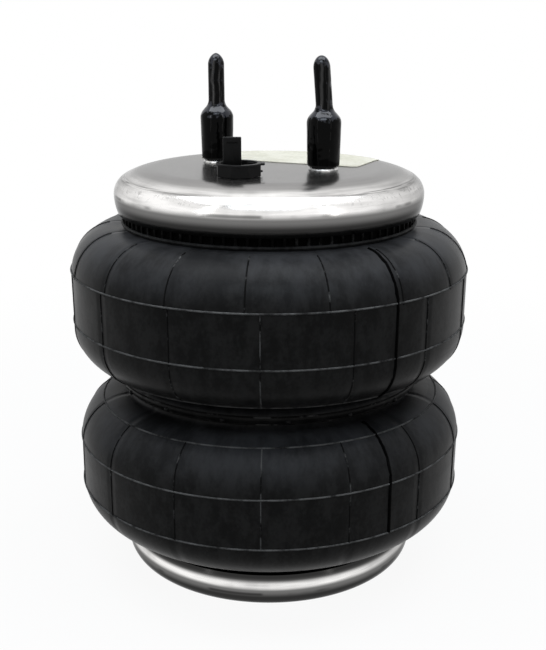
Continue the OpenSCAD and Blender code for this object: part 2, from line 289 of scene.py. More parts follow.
def band(value, low, high, soft):
    """1 between low and high, with soft ends."""
    return step(value, low - soft, low + soft) * (1 - step(value, high - soft, high + soft))


# %% Pressed plate steel
top_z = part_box("upper_bead_plate")[1].z
rim_start, rim_full = 47.5 * MM, 53 * MM
fleck_ring = (54.6 * MM, 56.4 * MM, 0.5 * MM)
mark_ring = (52.9 * MM, 54.5 * MM, 0.5 * MM)
# Depths of a patchy painted dark reflection line near the roll's widest line
dark_reflection_depths = (8.1 * MM, 9.1 * MM, 0.35 * MM)


def plate_steel(name, face_z, upwards, highlight_depths, grey_reflection_depths):
    """Dull steel on the flat face; the rim's painted highlight and grey painted reflection lie between given depths.
    """
    material, shader, place = start_finish(name)
    away, angle, height = turned(place)
    depth = (face_z - height) * upwards
    from_front = angle - camera_side
    drawn = noise(join(angle * 7, away * 2600, height * 2600), 1.0, 4)
    swirl = noise(join(angle * 2.2, away * 420, height * 420), 1.0, 3)
    highlight_patch = step(noise(join(angle.math("SINE") * 2.5, angle.math("COSINE") * 2.5, 0.0), 1.0, 3), 0.3, 0.6)
    cloud = noise(place, 55, 3)
    rim = step(away, rim_start, rim_full)
    # Painted shade: the rim's painted highlight is dimmer from the camera's right round to the back
    shaded_side = step(from_front, 0.3, 1.0)
    # Small dark marks on the rim: flecks, scores at the sides, and a patchy painted dark reflection line
    # near the roll's widest line
    flecks = band(away, *fleck_ring) * (1 - step(depth, 7 * MM, 9 * MM))
    flecks = flecks * step(noise(join(angle * 30, away * 500, height * 500), 1.0, 3, 0.65), 0.54, 0.66)
    dark_reflection = band(depth, *dark_reflection_depths) * rim
    dark_reflection = dark_reflection * step(noise(join(angle * 2.6, angle, angle), 1.0, 2), 0.53, 0.6)
    scores = band(away, *mark_ring) * (1 - step(depth, 6 * MM, 8 * MM)) * step(from_front.math("ABSOLUTE"), 0.2, 0.6)
    scores = scores * step(noise(join(angle * 3, away * 1500, height * 300), 1.0, 3), 0.4, 0.6)
    # How bright the steel is: its own even tone on the flat face. On the rim it is painted light: a painted
    # highlight band, a grey band of painted reflection, and painted shade elsewhere
    flat_tone = 0.3 + 0.08 * cloud + 0.12 * swirl
    painted_highlight = band(depth, *highlight_depths) * (0.5 + 0.25 * highlight_patch + 1.1 * (swirl - 0.5)) * (1 - 0.35 * shaded_side)
    painted_rim_light = 0.03 + 0.14 * band(depth, *grey_reflection_depths) + painted_highlight
    tone = flat_tone + rim * (painted_rim_light - flat_tone)
    # The tone with its painted rim light, darkened by the flecks, the painted dark reflection line and the scores
    paleness = tone * (1 - 0.35 * flecks) * (1 - 0.6 * dark_reflection) * (1 - 0.6 * scores)
    colour = mix(paleness, grey(0.0), grey(1.0, (1.0, 0.985, 0.97)))
    rough = 0.2 - 0.05 * rim + 0.1 * (drawn - 0.5) + 0.08 * (swirl - 0.3) + 0.15 * flecks
    feed(shader, {"Metallic": 1.0, "Specular Tint": grey(0.62), "IOR": 1.5},
         {"Base Color": colour, "Roughness": rough, "Normal": bump(drawn - flecks, 0.012 * MM)})
    return material


# Depths of each rim's painted highlight band and of its grey band of painted reflection, with soft ends
upper_highlight_depths = (-9 * MM, 8.9 * MM, 1.2 * MM)
upper_grey_reflection_depths = (-9 * MM, 11.8 * MM, 1.4 * MM)
lower_highlight_depths = (10.7 * MM, 13.2 * MM, 0.9 * MM)
lower_grey_reflection_depths = (8.4 * MM, 13.6 * MM, 1.4 * MM)
UPPER_STEEL = plate_steel("upper_plate_steel", top_z, 1, upper_highlight_depths, upper_grey_reflection_depths)
LOWER_STEEL = plate_steel("lower_plate_steel", 0, -1, lower_highlight_depths, lower_grey_reflection_depths)


# %% Zinc-plated studs, collars and nuts
def zinc_plate():
    material, shader, place = start_finish("stud_zinc")
    fine = noise(place, 900, 3)
    cloud = step(noise(place, 260, 2), 0.38, 0.62)
    colour = mix(cloud, grey(0.3, (0.98, 0.99, 1.0)), grey(0.74, (1.0, 0.99, 0.96)))
    feed(shader, {"Metallic": 1.0},
         {"Base Color": colour, "Roughness": 0.2 + 0.16 * fine, "Normal": bump(fine, 0.02 * MM)})
    return material


ZINC = zinc_plate()


# %% Moulded cover rubber
line_count = 15
belt_first = camera_side + math.radians(-2.2)
shoulder_count = 17
shoulder_first = camera_side + math.radians(-6)
shoulder_line = 119 * MM
neck_edge = (57 * MM, 58.2 * MM)


def groove(angle, count, first):
    """Soft valley along each of the upright lines."""
    panel = ((angle - first) * (count / (2 * math.pi))).math("FRACT")
    return 1 - step(panel.math("MINIMUM", 1 - panel), 0.0, 0.1)


def cover_rubber():
    """Black rubber: dust and a painted sheen where it faces up, mottled belts, and painted shade in the necks."""
    material, shader, place = start_finish("cover_rubber")
    away, angle, height = turned(place)
    panel = ((angle - belt_first) * (line_count / (2 * math.pi))).math("FLOOR")
    row = (height * 42).math("FLOOR")
    sheen = panel.node("ShaderNodeTexWhiteNoise", {"noise_dimensions": "2D"}, {"Vector": join(panel, row, row)})
    cloud = noise(place, 38, 4)
    rubbed = noise(join(angle * 6, height * 40, away * 40), 2.0, 5, 0.65)
    grain = noise(place, 2600, 2)
    # Where the rubber faces up it is paler and bluish: partly dust, partly a painted sheen of the light from above
    up_facing = facing_up(place, 0.02, 0.75)
    dust_and_sheen = up_facing * (0.3 + 0.7 * step(cloud * 0.6 + rubbed * 0.4, 0.38, 0.64))
    shaded_neck = step((height - top_z / 2).math("ABSOLUTE"), *neck_edge)
    mottle = step(rubbed + 0.35 * (noise(place, 700, 3) - 0.5), 0.36, 0.66)
    # Painted shade: the necks under the rims' lips are painted near-black
    rubber_and_neck_shade = mix(shaded_neck, mix(mottle, grey(0.006), grey(0.019, (1.0, 0.99, 0.98))), grey(0.001))
    colour = mix(dust_and_sheen * (1 - shaded_neck), rubber_and_neck_shade, grey(0.046, (0.97, 0.99, 1.06)))
    rough = 0.34 + 0.2 * (cloud - 0.5) + 0.08 * (sheen - 0.5) + 0.06 * dust_and_sheen + 0.6 * shaded_neck
    on_shoulder = step(height, shoulder_line - 1 * MM, shoulder_line + 1 * MM)
    belt_groove = groove(angle, line_count, belt_first)
    shoulder_groove = groove(angle, shoulder_count, shoulder_first)
    valleys = belt_groove + on_shoulder * (shoulder_groove - belt_groove)
    height_map = grain * 0.3 + cloud * 0.9 - valleys * 2.5
    feed(shader, {"IOR": 1.14},
         {"Base Color": colour, "Roughness": rough, "Normal": bump(height_map, 0.12 * MM, 0.7)})
    return material


RUBBER = cover_rubber()


# %% Worn flash lines, neck ribs painted darker as shade, and the mould seam painted dark as its shadow
def flash_rubber(name, dark, pale, low, high, ior, belts_only=0.0, front_line=0.0):
    """Thin rubber, dark where it is whole and pale where it is rubbed, as the noise goes from low to high."""
    material, shader, place = start_finish(name)
    _, angle, height = turned(place)
    from_middle = (height - top_z / 2).math("ABSOLUTE")
    on_belt = 1 - belts_only + belts_only * band(from_middle, 5 * MM, 50 * MM, 1 * MM)
    to_front = (angle - belt_first).math("ABSOLUTE")
    # front_line makes the upright line that faces the camera pale more often
    rubbed = noise(place, 160, 4, 0.7) + front_line * (1 - step(to_front, 0.03, 0.06))
    paleness = step(rubbed, low, high) * on_belt
    colour = mix(paleness, grey(dark), grey(pale, (1.0, 1.0, 0.99)))
    feed(shader, {"IOR": ior},
         {"Base Color": colour, "Roughness": 0.5 + 0.25 * paleness, "Normal": bump(noise(place, 900, 3), 0.05 * MM)})
    return material


FLASH = flash_rubber("worn_flash", 0.012, 0.14, 0.3, 0.62, 1.12, belts_only=0.75)
UPRIGHT_FLASH = flash_rubber("upright_flash", 0.004, 0.11, 0.54, 0.7, 1.12, front_line=0.15)
# The ribs' dark colour, darker than the rubber, is painted shade under the lips; their pale flecks are wear
RIB = flash_rubber("neck_rib", 0.003, 0.06, 0.48, 0.66, 1.1)
# The seam is painted near-black as shadow along its ridge
SEAM = flash_rubber("mould_seam", 0.001, 0.006, 0.5, 0.7, 1.06)


# %% Dipped vinyl, plug plastic and label paper
cap_run_z = 174 * MM
left_run = (-1.6 * MM, -0.7 * MM, 0.35 * MM)
right_run = (1.1 * MM, 1.7 * MM, 0.3 * MM)
cap_axis_x = sum(corner.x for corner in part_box("stud_cap_right")) / 2


def cap_vinyl():
    """Dipped vinyl, glossier in two wavy runs down each neck, and on shoulder and tip, which get a bluish painted
    sheen.
    """
    material, shader, place = start_finish("cap_vinyl")
    wave = noise(place, 130, 2)
    x, y, z = split(place)
    across = (x - x.math("SIGN") * cap_axis_x) * math.cos(view_turn) + y * math.sin(view_turn)
    wavy = across + 2.4 * MM * (noise(join(x * 20, y * 20, z * 170), 1.0, 1) - 0.5)
    runs = band(wavy, *left_run) + 0.7 * band(wavy, *right_run)
    runs = runs * step(z, cap_run_z, cap_run_z + 4 * MM)
    uneven = split(place.other("Normal"))[2] + 2.2 * (noise(place, 420, 2) - 0.5)
    thick_and_sheen = step(uneven, 0.2, 0.5) * facing_up(place, 0.0, 0.1)
    # Painted sheen: where the vinyl faces up its colour is a paler bluish grey
    colour = mix(thick_and_sheen, grey(0.0015), grey(0.012, (0.4, 0.65, 1.5)))
    feed(shader, {"IOR": 1.14, "Coat Roughness": 0.06},
         {"Base Color": colour, "Roughness": 0.06 + 0.05 * noise(place, 60, 2), "Normal": bump(wave, 1.0 * MM, 0.6),
          "Coat Weight": (0.75 * runs).math("MAXIMUM", 0.7 * thick_and_sheen)})
    return material


def plug_plastic():
    material, shader, place = start_finish("plug_plastic")
    grain = noise(place, 1500, 2)
    scuff = step(noise(place, 260, 4, 0.7), 0.55, 0.75)
    colour = mix(scuff, grey(0.008), grey(0.018))
    feed(shader, {"IOR": 1.17},
         {"Base Color": colour, "Roughness": 0.38 + 0.2 * scuff, "Normal": bump(grain, 0.03 * MM)})
    return material


def label_paper():
    material, shader, place = start_finish("label_paper")
    fibre = noise(place, 700, 4, 0.7)
    blotch = noise(place, 90, 3)
    pale = step(fibre * 0.5 + blotch * 0.5, 0.4, 0.6)
    colour = mix(pale, grey(0.74, (1.03, 1.0, 0.83)), grey(0.89, (1.03, 1.0, 0.87)))
    feed(shader, {"IOR": 1.4},
         {"Base Color": colour, "Roughness": 0.6 + 0.2 * fibre, "Normal": bump(fibre, 0.03 * MM)})
    return material


VINYL = cap_vinyl()
PLASTIC = plug_plastic()
PAPER = label_paper()


# %% Hidden bead wire, and the bead's own rubber
wire_d = 0.9 * MM


def bead_wire():
    material, shader, place = start_finish("bead_wire")
    away, _, height = turned(place)
    turns = ((away + height) * (2 * math.pi / wire_d)).math("SINE")
    colour = mix(noise(place, 300, 2), grey(0.5, (1.0, 0.8, 0.55)), grey(0.62, (1.0, 0.85, 0.62)))
    feed(shader, {"Metallic": 1.0},
         {"Base Color": colour, "Roughness": 0.35 + 0.1 * noise(place, 500), "Normal": bump(turns, 0.1 * MM)})
    return material


def bead_rubber():
    material, shader, place = start_finish("bead_rubber")
    grain = noise(place, 1200, 3)
    colour = mix(grain, grey(0.012), grey(0.026))
    feed(shader, {"IOR": 1.3},
         {"Base Color": colour, "Roughness": 0.55 + 0.2 * grain, "Normal": bump(grain, 0.05 * MM)})
    return material


WIRE = bead_wire()
BEAD_RUBBER = bead_rubber()
print("Finishes:", [m.name for m in bpy.data.materials if m.use_nodes])

# %% [markdown]
# ## Modelling by hand, in code
#
# Most of these pieces are turned on a lathe or pressed round. The hand method in Blender is to draw half of the
# section from one vertex by extruding it point after point, and then to spin the section round the axis. The points
# of a round stretch come from an arc, so the section has only the values that its shape needs.


# %% Draw a section and spin it
def arc(x, z, r, start, end, steps=12):
    """Points on an arc in a section, with angles in degrees."""
    turns = [math.radians(start + (end - start) * i / steps) for i in range(steps + 1)]
    return [(x + r * math.cos(t), z + r * math.sin(t)) for t in turns]


def open_new(name):
    """Name the piece that was just added, and open it in edit mode."""
    piece = bpy.context.object
    piece.name = piece.data.name = name
    bpy.ops.object.mode_set(mode="EDIT")
    return piece


def draw(name, section, turn=0.0):
    """Edges through the points of a section, in the upright plane at the given turn. It stays in edit mode."""
    bpy.ops.mesh.primitive_plane_add(size=MM)
    piece = open_new(name)
    bpy.ops.mesh.merge(type="CENTER")
    points = [Vector((x * math.cos(turn), x * math.sin(turn), z)) for x, z in section]
    bpy.ops.transform.translate(value=points[0])
    for here, there in zip(points, points[1:]):
        bpy.ops.mesh.extrude_region_move(TRANSFORM_OT_translate={"value": there - here})
    return piece


SMOOTH = 32
PLATE_STEPS, BELLOWS_STEPS, CAP_STEPS, STUD_STEPS = 240, 192, 72, 64


def open_all():
    """Open the active piece in edit mode, with all of it selected."""
    bpy.ops.object.mode_set(mode="EDIT")
    bpy.ops.mesh.select_all(action="SELECT")


def tidy_mesh(angle=SMOOTH):
    """Merge what meets, point the faces outwards, leave edit mode and smooth all but the sharp edges."""
    bpy.ops.mesh.select_all(action="SELECT")
    bpy.ops.mesh.remove_doubles(threshold=0.001 * MM)
    bpy.ops.mesh.normals_make_consistent(inside=False)
    bpy.ops.object.mode_set(mode="OBJECT")
    bpy.ops.object.shade_smooth_by_angle(angle=math.radians(angle))


def lathe(name, section, steps, centre=(0, 0)):
    """A closed section spun round the Z axis, then moved so that its axis stands at the centre."""
    piece = draw(name, section)
    bpy.ops.mesh.select_all(action="SELECT")
    bpy.ops.mesh.spin(steps=steps, angle=2 * math.pi, center=(0, 0, 0), axis=(0, 0, 1))
    bpy.ops.mesh.select_all(action="SELECT")
    bpy.ops.transform.translate(value=(*centre, 0))
    tidy_mesh()
    return piece


def block(name, low, high, round_r, segments=3):
    """Box between two corners with rounded edges."""
    low, high = Vector(low), Vector(high)
    bpy.ops.mesh.primitive_cube_add(size=1)
    piece = open_new(name)
    bpy.ops.transform.resize(value=high - low)
    bpy.ops.transform.translate(value=(low + high) / 2)
    if round_r:
        bpy.ops.mesh.bevel(offset=round_r, segments=segments)
    tidy_mesh(40)
    return piece


# %% Select a piece, apply a modifier, and hand a piece over to its body
def select_only(*pieces):
    bpy.ops.object.select_all(action="DESELECT")
    for piece in pieces:
        piece.select_set(True)
    bpy.context.view_layer.objects.active = pieces[0]


def modify(piece, kind, **settings):
    select_only(piece)
    modifier = piece.modifiers.new(kind.lower(), kind)
    for name, value in settings.items():
        setattr(modifier, name, value)
    bpy.ops.object.modifier_apply(modifier=modifier.name)


DRILL_DEPTH = 8 * MM


def drill(piece, centre, r):
    """Round hole through a piece."""
    bpy.ops.mesh.primitive_cylinder_add(vertices=CAP_STEPS, radius=r, depth=DRILL_DEPTH, location=centre)
    cutter = bpy.context.object
    modify(piece, "BOOLEAN", object=cutter, operation="DIFFERENCE", solver="EXACT")
    bpy.data.objects.remove(cutter)


def paint(piece, finish):
    piece.data.materials.clear()
    piece.data.materials.append(finish)


def dress(piece, finish, slot, body, *nodes):
    paint(piece, finish)
    if body:
        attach(piece, body)
    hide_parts(*nodes)
    print(piece.name, "faces:", len(piece.data.polygons))


# %% [markdown]
# ## Bead plates
#
# Each plate is one pressed sheet: a flat face, a shallow dish, a rolled rim and a skirt whose lip is crimped round
# the rubber. Outside and inside are the same run of arcs, set apart by the sheet's thickness. The lower plate is the
# same section turned over.

# %% Sizes of the plates
plate_low, plate_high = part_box("upper_bead_plate")
plate_r = plate_high.x
plate_depth = plate_high.z - plate_low.z
sheet = 2 * MM
roll_r = 7.1 * MM
rim_drop = 2.1 * MM
dish_w = 9 * MM
lip_tuck = 1.25 * MM
roll_c = plate_r - roll_r
roll_drop = rim_drop + roll_r
skirt_h = plate_depth - roll_drop
flat_r = roll_c - dish_w
dish_r = (dish_w ** 2 + roll_drop ** 2 - roll_r ** 2) / (2 * rim_drop)
dish_angle = math.degrees(math.asin(dish_w / (dish_r - roll_r)))
skirt_r = (skirt_h ** 2 + lip_tuck ** 2) / (2 * lip_tuck)
print("Plate radius and depth in mm:", round(plate_r / MM, 2), round(plate_depth / MM, 2))


# %% Press the plates
def plate_skin(inset):
    """Outer skin of the plate from the axis to the lip, or a skin inset from it, with the flat face at zero."""
    skirt_end = -math.degrees(math.asin(skirt_h / (skirt_r - inset)))
    flat = [(0, -inset), (flat_r / 2, -inset)]
    dish = arc(flat_r, -dish_r, dish_r - inset, 90, 90 - dish_angle, 8)
    roll = arc(roll_c, -roll_drop, roll_r - inset, 90 - dish_angle, 0, 20)
    skirt = arc(plate_r - skirt_r, -roll_drop, skirt_r - inset, 0, skirt_end, 8)
    return flat + dish + roll + skirt


plate_section = plate_skin(0) + plate_skin(sheet)[::-1]
upper_plate = lathe("upper_plate_skin", [(x, top_z + z) for x, z in plate_section], PLATE_STEPS)
lower_plate = lathe("lower_plate_skin", [(x, -z) for x, z in plate_section], PLATE_STEPS)

# %% Drill the plates
hole_fit = 0.15 * MM
stud_low, stud_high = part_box("stud_right")
stud_x = (stud_low.x + stud_high.x) / 2
stud_r = 4.7 * MM
inlet_low, inlet_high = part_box("air_inlet_bushing")
inlet = ((inlet_low + inlet_high) / 2).to_2d()
spigot_r = 7.3 * MM
nut_r = 6.4 * MM
SIDES = ((-1, "left"), (1, "right"))
for side, _ in SIDES:
    drill(upper_plate, (side * stud_x, 0, top_z), stud_r + hole_fit)
    drill(lower_plate, (side * stud_x, 0, 0), nut_r + hole_fit)
drill(upper_plate, (*inlet, top_z), spigot_r + hole_fit)
for plate in (upper_plate, lower_plate):
    modify(plate, "BEVEL", width=0.2 * MM, segments=2, limit_method="ANGLE", angle_limit=math.radians(50))
    bpy.ops.object.shade_smooth_by_angle(angle=math.radians(SMOOTH))
    modify(plate, "WEIGHTED_NORMAL", mode="FACE_AREA", keep_sharp=True)
dress(upper_plate, UPPER_STEEL, "plate_steel", "upper_plate", "upper_bead_plate")
dress(lower_plate, LOWER_STEEL, "plate_steel", "lower_plate", "lower_bead_plate")

# %% [markdown]
# ## Bellows
#
# The wall is one flexible skin from bead to bead, but each half has to bend between two bodies: the girdle in the
# waist and a plate. So it is modelled as two closed shells that meet inside the girdle.

# %% Sizes of the bellows
cover_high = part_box("outer_cover")[1]
flash = 0.65 * MM
belt_r = cover_high.x - flash
neck_top = cover_high.z
mid_z = top_z / 2
upper_radii = (17.2 * MM, 16 * MM)
lower_radii = (16.5 * MM, 17.9 * MM)
neck_h = 4.9 * MM
neck_r = 53.43 * MM
neck_fillet = 2 * MM
waist_h = 10 * MM
waist_r = plate_r - 3 * MM
waist_fillet = 2 * MM
belt_h = 18.8 * MM
belt_rise = 1.2 * MM
wall = 3.9 * MM
conv_top = top_z - plate_depth - neck_h
conv_low = mid_z + waist_h / 2
belt_mid = (conv_top + conv_low) / 2 + belt_rise
print("Belt radius and middle in mm:", round(belt_r / MM, 2), round(belt_mid / MM, 2))


# %% Mould the two halves of the bellows
def shoulder(radii, start, end, inset=0.0, steps=24):
    """Arc of the shoulder next to the plate."""
    r = radii[0]
    return arc(belt_r - r, conv_top - r, r - inset, start, end, steps)


def waist_shoulder(radii, start, end, inset=0.0, steps=22):
    """Arc of the shoulder next to the waist."""
    r = radii[1]
    return arc(belt_r - r, conv_low + r, r - inset, start, end, steps)


def bellows_skin(radii, inset):
    """Skin of one half, inset from the outside, from its neck to the middle of the waist, as on the upper half."""
    neck = [(neck_r - inset, neck_top)]
    neck += arc(neck_r + neck_fillet, conv_top + neck_fillet, neck_fillet + inset, 180, 270, 6)
    waist = arc(waist_r + waist_fillet, conv_low - waist_fillet, waist_fillet + inset, 90, 180, 6)
    waist += [(waist_r - inset, mid_z)]
    high, low = conv_top - radii[0], conv_low + radii[1]
    belt = [(belt_r - inset, high + (low - high) * i / 4) for i in (1, 2, 3)]
    return neck + shoulder(radii, 90, 0, inset) + belt + waist_shoulder(radii, 0, -90, inset) + waist


def turn_over(section):
    """The same section on the lower half."""
    return [(x, top_z - z) for x, z in section]


def closed(section):
    return section + section[:1]


def bellows_section(radii):
    return closed(bellows_skin(radii, 0) + bellows_skin(radii, wall)[::-1])


upper_bellows = lathe("upper_bellows", bellows_section(upper_radii), BELLOWS_STEPS)
lower_bellows = lathe("lower_bellows", turn_over(bellows_section(lower_radii)), BELLOWS_STEPS)
rubber_nodes = ("outer_cover", "outer_ply", "inner_ply", "inner_liner")
for half in (upper_bellows, lower_bellows):
    dress(half, RUBBER, "cover_rubber", None, *rubber_nodes)

# %% [markdown]
# ## Ribs in the necks
#
# Under each rim the rubber neck has a ring of short moulded ribs that grip the lip. One rib is shaped from a cube,
# and the spin operator's copies set the rest round the axis.


# %% Cut one rib and copy it round
def copy_round(count):
    """Copies of all that is selected, evenly round the Z axis."""
    turn = 2 * math.pi * (count - 1) / count
    bpy.ops.mesh.spin(steps=count - 1, angle=turn, dupli=True, center=(0, 0, 0), axis=(0, 0, 1))


rib_count = 84
rib_size = Vector((1.6 * MM, 0.95 * MM, 3.6 * MM))
rib_round = 0.25 * MM
rib_z = top_z - plate_depth - 1.5 * MM


def neck_ribs(name, z):
    centre = Vector((neck_r, 0, z))
    ribs = block(name, centre - rib_size / 2, centre + rib_size / 2, rib_round, 2)
    open_all()
    copy_round(rib_count)
    tidy_mesh(40)
    return ribs


upper_ribs = neck_ribs("upper_neck_ribs", rib_z)
lower_ribs = neck_ribs("lower_neck_ribs", top_z - rib_z)
for ribs in (upper_ribs, lower_ribs):
    dress(ribs, RIB, "cover_rubber", None)

# %% [markdown]
# ## Flash lines
#
# Rubber creeps into every joint of the mould and leaves thin raised lines. Four rings run round each convolution, and
# short upright lines join them. A ring is a thin torus that is half sunk in the skin. An upright line is drawn along
# the skin, made a curve for its round thickness and then copied round.


# %% Rings and upright lines
def unify(name, *pieces):
    select_only(*pieces)
    bpy.ops.object.join()
    pieces[0].name = pieces[0].data.name = name
    return pieces[0]


def ring_lines(name, rings):
    """Rings given by their radius, their height and their thickness."""
    made = []
    for x, z, r in rings:
        bpy.ops.mesh.primitive_torus_add(major_radius=x, minor_radius=r, major_segments=PLATE_STEPS, minor_segments=8)
        made.append(open_new(name))
        bpy.ops.transform.translate(value=(0, 0, z))
        bpy.ops.object.mode_set(mode="OBJECT")
    return unify(name, *made)


def upright_lines(name, path, r, count, first):
    """Thin round lines along a path on the skin, evenly round the axis from the first angle."""
    lines = draw(name, path, first)
    bpy.ops.object.mode_set(mode="OBJECT")
    bpy.ops.object.convert(target="CURVE")
    lines.data.bevel_depth = r
    lines.data.bevel_resolution = 1
    lines.data.use_fill_caps = True
    bpy.ops.object.convert(target="MESH")
    open_all()
    if count > 1:
        copy_round(count)
    tidy_mesh(60)
    return lines


# %% Lines of the upper and the lower half
ring_r = 0.34 * MM
neck_ring_r = 0.6 * MM
upright_r = 0.28 * MM
waist_ring_angle = -60
belt_edges = [(belt_r, belt_mid + belt_h / 2), (belt_r, belt_mid - belt_h / 2)]
neck_ring = (neck_r + 1 * MM, conv_top + 1.3 * MM, neck_ring_r)


def half_rings(radii):
    waist_ring = waist_shoulder(radii, waist_ring_angle, waist_ring_angle, 0, 1)[0]
    return [(x, z, ring_r) for x, z in belt_edges + [waist_ring]] + [neck_ring]


def belt_path(radii):
    return belt_edges + waist_shoulder(radii, 0, waist_ring_angle, 0, 14)


upper_rings = ring_lines("upper_flash_rings", half_rings(upper_radii))
lower_rings = ring_lines("lower_flash_rings", [(x, top_z - z, r) for x, z, r in half_rings(lower_radii)])
upper_uprights = unify(
    "upper_upright_lines",
    upright_lines("belt_lines", belt_path(upper_radii), upright_r, line_count, belt_first),
    upright_lines("shoulder_lines", shoulder(upper_radii, 80, 4, 0, 18), upright_r, shoulder_count, shoulder_first),
)
lower_belt_path = turn_over(belt_path(lower_radii))
lower_uprights = upright_lines("lower_upright_lines", lower_belt_path, upright_r, line_count, belt_first)
for lines in (upper_rings, lower_rings):
    dress(lines, FLASH, "cover_rubber", None)
for lines in (upper_uprights, lower_uprights):
    dress(lines, UPRIGHT_FLASH, "cover_rubber", None)

# %% The mould seam, made jagged by a Displace modifier
seam_turn = camera_side + math.radians(34.5)
seam_r = 0.55 * MM
seam_jag = 1.3 * MM
jag_length = 2.5 * MM
seam_start, seam_end = 86, -84
upper_path = shoulder(upper_radii, seam_start, 0) + waist_shoulder(upper_radii, 0, seam_end)
lower_path = turn_over(waist_shoulder(lower_radii, seam_end, 0) + [belt_edges[0]])
upper_seam = upright_lines("upper_mould_seam", upper_path, seam_r, 1, seam_turn)
lower_seam = upright_lines("lower_mould_seam", lower_path, seam_r, 1, seam_turn)
jag = bpy.data.textures.new("seam_jag", "CLOUDS")
jag.noise_scale = jag_length
for seam in (upper_seam, lower_seam):
    modify(seam, "DISPLACE", texture=jag, texture_coords="LOCAL", direction="Y", strength=seam_jag)
    dress(seam, SEAM, "cover_rubber", None)

# %% [markdown]
# ## Girdle band
#
# A steel hoop holds the waist in. The rubber that covers it shows as a round band with two fine ridges and a row of
# small vent nubs. It rides on the girdle, and hides where the two halves of the bellows meet.

# %% Turn the band and set its nubs
hoop_r = 2 * MM
hoop_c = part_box("girdle_hoop")[1].x - hoop_r
band_r = 2.95 * MM
girdle_band = lathe("girdle_band", closed(arc(hoop_c, mid_z, band_r, -180, 170, 35)), BELLOWS_STEPS)
ridge_r = 0.3 * MM
ridge_angles = (10, -62)
ridges = ring_lines("girdle_ridges", [(x, z, ridge_r) for x, z in arc(hoop_c, mid_z, band_r, *ridge_angles, 1)])
nub_count = 16
nub_turn = camera_side + math.radians(-16)
nub_r = 0.9 * MM
nub_angle = -26
nub_away, nub_z = arc(hoop_c, mid_z, band_r, nub_angle, nub_angle, 1)[0]
bpy.ops.mesh.primitive_uv_sphere_add(segments=16, ring_count=8, radius=nub_r)
nubs = open_new("girdle_nubs")
bpy.ops.transform.translate(value=(nub_away * math.cos(nub_turn), nub_away * math.sin(nub_turn), nub_z))
copy_round(nub_count)
tidy_mesh(60)
for trim in (girdle_band, nubs):
    dress(trim, RUBBER, "cover_rubber", "girdle", "outer_cover")
dress(ridges, UPRIGHT_FLASH, "cover_rubber", "girdle")

# %% [markdown]
# ## Sag of the lower half
#
# Rubber is never quite even. The lower half hangs a little lower on one side, with its rings and lines. A Lattice is
# a coarse cage that bends all that lies in it alike, so one cage bends the skin and its lines together.

# %% Bend the lower half in a cage
sag_in = 1.0 * MM
sag_down = 3.0 * MM
cage_edge = 0.4
bpy.ops.object.add(type="LATTICE", location=(0, 0, mid_z / 2), rotation=(0, 0, view_turn))
cage = bpy.context.object
cage.scale = (2 * belt_r, 2 * belt_r, mid_z)
cage.data.points_u, cage.data.points_v, cage.data.points_w = 3, 3, 3
for point in cage.data.points:
    if point.co.x < -cage_edge and point.co.z > cage_edge:
        point.co_deform.x += sag_in / (2 * belt_r)
        point.co_deform.z -= sag_down / mid_z
for piece in (lower_bellows, lower_rings, lower_uprights, lower_seam):
    modify(piece, "LATTICE", object=cage)
bpy.data.objects.remove(cage)

# %% Bake the transforms of both halves and their trim into their meshes
for piece in (upper_bellows, upper_ribs, upper_rings, upper_uprights, upper_seam):
    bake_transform(piece)
for piece in (lower_bellows, lower_ribs, lower_rings, lower_uprights, lower_seam):
    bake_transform(piece)

# %% [markdown]
# ## Threads
#
# The studs, the blind nuts and the air inlet are threaded, which shows when a cap or the plug is pulled off, or from
# below. A thread is a three-cornered ridge that the Screw modifier carries round the axis while it climbs.


# %% Cut a thread
thread_steps = 36
thread_sink = 1.15
thread_w = 0.84


def thread(name, r, depth, pitch, low, high, centre):
    """Helical ridge with its crest at r and its root at r - depth, or inwards where depth is below zero."""
    root = r - depth * thread_sink
    section = closed([(root, low), (r, low + pitch * thread_w / 2), (root, low + pitch * thread_w)])
    ridge = draw(name, section)
    bpy.ops.mesh.select_all(action="SELECT")
    bpy.ops.mesh.remove_doubles(threshold=0.001 * MM)
    bpy.ops.object.mode_set(mode="OBJECT")
    turns = int((high - low) / pitch) - 1
    modify(ridge, "SCREW", axis="Z", screw_offset=pitch, iterations=turns, steps=thread_steps,
           render_steps=thread_steps, use_normal_calculate=True)
    open_all()
    bpy.ops.mesh.fill_holes(sides=4)
    bpy.ops.transform.translate(value=(*centre, 0))
    tidy_mesh(30)
    return ridge


# %% Studs with their heads under the plate
stud_top = stud_high.z
stud_foot = stud_low.z
head_r = (stud_high.x - stud_low.x) / 2
head_t = 3.5 * MM
stud_pitch = 1.59 * MM
stud_depth = 0.85 * MM
core_r = stud_r - stud_depth
chamfer = 0.5 * MM
fine_edge = 0.3 * MM
stud_section = [
    (0, stud_foot), (head_r - chamfer, stud_foot), (head_r, stud_foot + chamfer), (head_r, stud_foot + head_t),
    (stud_r, stud_foot + head_t), (stud_r, top_z + 0.4 * MM), (core_r, top_z + 1.2 * MM),
    (core_r, stud_top - 2 * chamfer), (core_r - 2 * chamfer, stud_top), (0, stud_top),
]
for side, name in SIDES:
    axis = (side * stud_x, 0)
    shank = lathe(f"stud_shank_{name}", stud_section, STUD_STEPS, axis)
    ridge = thread(f"stud_ridge_{name}", stud_r, stud_depth, stud_pitch, top_z + 1 * MM, stud_top - 0.6 * MM, axis)
    dress(unify(f"threaded_stud_{name}", shank, ridge), ZINC, "stud_steel", "upper_plate", f"stud_{name}")

